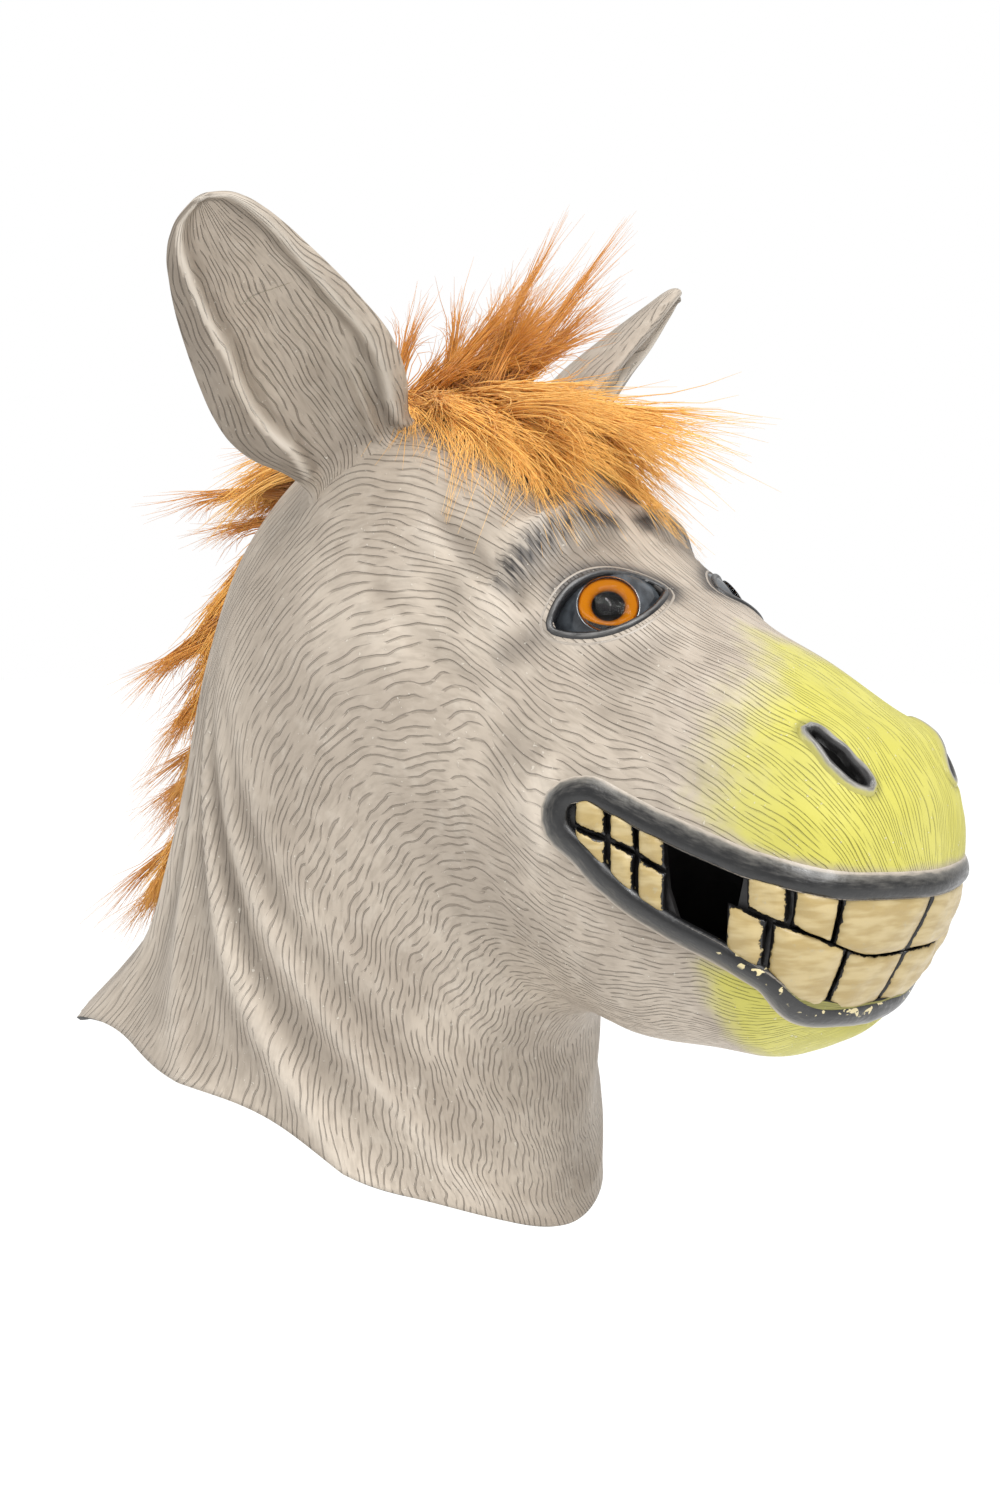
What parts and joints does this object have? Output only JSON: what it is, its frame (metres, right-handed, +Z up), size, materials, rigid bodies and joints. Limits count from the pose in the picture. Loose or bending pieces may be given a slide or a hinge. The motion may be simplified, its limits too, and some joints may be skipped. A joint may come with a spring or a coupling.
{
  "type": "latex halloween mask",
  "caption": "Full-head latex animal mask with standing ears, fur forelock and mane, dome eyes and a wide grin with a see-through gap in the teeth.",
  "frame": {"origin": "centre of the head cavity, the middle of the wearer's head midway between the ears", "axes": "+Z up when worn upright, -Y the way the mask faces, -X its right side"},
  "size_m": [0.3148, 0.4509, 0.4121],
  "materials": {
    "latex_skin": "matt painted latex, warm grey with darker washes, muzzle and chin yellow-green",
    "latex_ear": "matt painted latex, warm grey",
    "foam_core": "open-cell upholstery foam",
    "eye_sclera": "glossy dark grey plastic dome",
    "iris_amber": "amber ring printed round a black pupil",
    "eye_lens": "clear polished plastic dome",
    "gum_latex": "matt black latex",
    "tooth_paint": "cream paint dry-brushed on latex, ragged over black",
    "fur_backing": "knitted backing cloth",
    "fur_pile": "long golden-orange acrylic pile"
  },
  "bodies": {
    "head": {"head_skin": "latex_skin", "right_eye_shell": "eye_sclera", "left_eye_shell": "eye_sclera", "right_iris_disc": "iris_amber", "left_iris_disc": "iris_amber", "right_eye_lens": "eye_lens", "left_eye_lens": "eye_lens", "gum_liner": "gum_latex", "right_upper_back_teeth": "tooth_paint", "left_upper_back_teeth": "tooth_paint", "right_lower_back_teeth": "tooth_paint", "left_lower_back_teeth": "tooth_paint", "upper_front_teeth": "tooth_paint", "lower_front_teeth": "tooth_paint", "forelock_backing": "fur_backing", "forelock_fur": "fur_pile", "mane_backing": "fur_backing", "mane_fur": "fur_pile"},
    "right_ear": {"right_ear": "latex_ear", "right_ear_core": "foam_core"},
    "left_ear": {"left_ear": "latex_ear", "left_ear_core": "foam_core"}
  },
  "joints": [
    {"name": "right_ear_flex", "type": "hinge", "parent": "head", "child": "right_ear", "pos_m": [-0.054, -0.013, 0.114], "axis": [0.5239, -0.7329, 0.434], "range_deg": [-25, 20], "stiffness_Nm_per_rad": 1},
    {"name": "left_ear_flex", "type": "hinge", "parent": "head", "child": "left_ear", "pos_m": [0.054, -0.013, 0.114], "axis": [0.5239, 0.7329, -0.434], "range_deg": [-25, 20], "stiffness_Nm_per_rad": 1}
  ]
}
